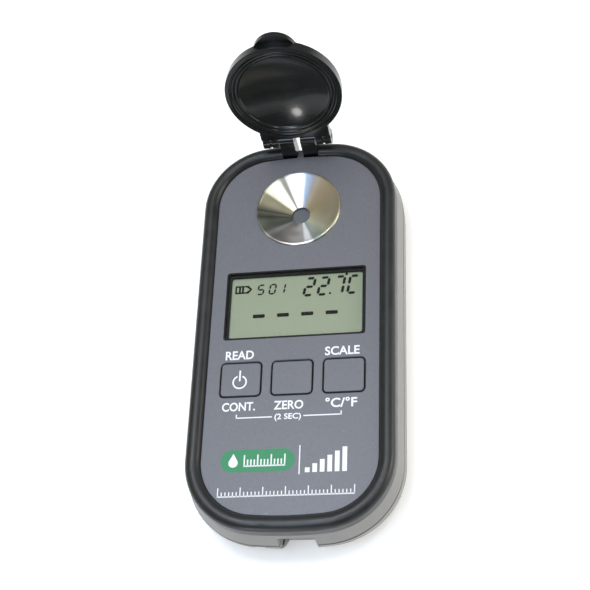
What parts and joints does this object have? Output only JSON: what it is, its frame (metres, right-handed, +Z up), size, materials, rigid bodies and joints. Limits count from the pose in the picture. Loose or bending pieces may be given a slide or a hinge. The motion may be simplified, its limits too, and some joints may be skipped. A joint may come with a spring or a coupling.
{
  "type": "handheld digital refractometer",
  "caption": "Handheld digital refractometer: grey case with black bumper ring, display, keys and a steel sample well under a flip-up light shield.",
  "frame": {"origin": "middle of the flat back face that the instrument rests on", "axes": "+X to the right across the keys, +Y along the case towards the lid's hinge, +Z up out of the face panel"},
  "size_m": [0.0586, 0.1256, 0.0624],
  "materials": {
    "case_grey": "fine textured moulding",
    "bumper_black": "smooth satin gloss",
    "panel_grey": "fine grain with a faint metallic sheen",
    "key_grey": "same finish as the panel",
    "bezel_black": "matt",
    "lens_clear": "clear polished",
    "lcd_green": "reflective display glass, grey-green",
    "carrier_white": "matt",
    "zebra_rubber": "banded rubber",
    "seal_rubber": "matt",
    "board_green": "solder mask",
    "chip_black": "matt moulding",
    "flex_amber": "flexible circuit film",
    "wire_sleeve": "insulation",
    "optics_black": "matt, light-absorbing",
    "led_amber": "clear tinted resin",
    "prism_glass": "optical polish",
    "well_steel": "polished turned stainless steel",
    "pin_steel": "bright drawn",
    "screw_steel": "plated",
    "dome_steel": "bright",
    "contact_metal": "nickel plated",
    "cell_wrap": "printed wrap, plain",
    "lid_black": "glossy black moulding"
  },
  "bodies": {
    "case": {"back_shell": "case_grey", "front_shell": "case_grey", "case_seal": "seal_rubber", "case_screws": "screw_steel", "bumper_ring": "bumper_black", "face_plate": "panel_grey", "display_bezel": "bezel_black", "display_lens": "lens_clear", "lcd_glass": "lcd_green", "lcd_carrier": "carrier_white", "zebra_strip": "zebra_rubber", "main_board": "board_green", "mcu_chip": "chip_black", "board_connector": "carrier_white", "board_screws": "screw_steel", "key_domes": "dome_steel", "sample_well": "well_steel", "well_gasket": "seal_rubber", "prism": "prism_glass", "prism_seal": "seal_rubber", "optics_block": "optics_black", "optics_screws": "screw_steel", "led_emitter": "led_amber", "collimator_lens": "prism_glass", "image_sensor": "chip_black", "sensor_board": "board_green", "sensor_cable": "flex_amber", "thermistor": "chip_black", "hinge_bracket": "lid_black", "hinge_pins": "pin_steel", "bracket_screws": "screw_steel", "battery_cell": "cell_wrap", "battery_spring": "contact_metal", "battery_minus_contact": "contact_metal", "battery_plus_contact": "contact_metal", "battery_wires": "wire_sleeve"},
    "lid": {"lid_shell": "lid_black", "lid_liner": "lid_black"},
    "read_key": {"read_key": "key_grey"},
    "zero_key": {"zero_key": "key_grey"},
    "scale_key": {"scale_key": "key_grey"},
    "battery_door": {"battery_door": "case_grey", "door_seal": "seal_rubber"},
    "door_screw": {"door_screw": "screw_steel"}
  },
  "joints": [
    {"name": "lid_hinge", "type": "hinge", "parent": "case", "child": "lid", "pos_m": [0, 0.05776, 0.02312], "axis": [-1, 0, 0], "range_deg": [-102.9, 22.1]},
    {"name": "read_key_press", "type": "slide", "parent": "case", "child": "read_key", "axis": [0, 0, -1], "range_m": [0, 0.0005], "stiffness_N_per_m": 1500},
    {"name": "zero_key_press", "type": "slide", "parent": "case", "child": "zero_key", "axis": [0, 0, -1], "range_m": [0, 0.0005], "stiffness_N_per_m": 1500},
    {"name": "scale_key_press", "type": "slide", "parent": "case", "child": "scale_key", "axis": [0, 0, -1], "range_m": [0, 0.0005], "stiffness_N_per_m": 1500},
    {"name": "battery_door_lift", "type": "slide", "parent": "case", "child": "battery_door", "axis": [0, 0, -1], "range_m": [0, 0.012]},
    {"name": "door_screw_turn", "type": "hinge", "parent": "battery_door", "child": "door_screw", "pos_m": [0, -0.0464, 0.0004], "axis": [0, 0, 1], "continuous": true}
  ]
}
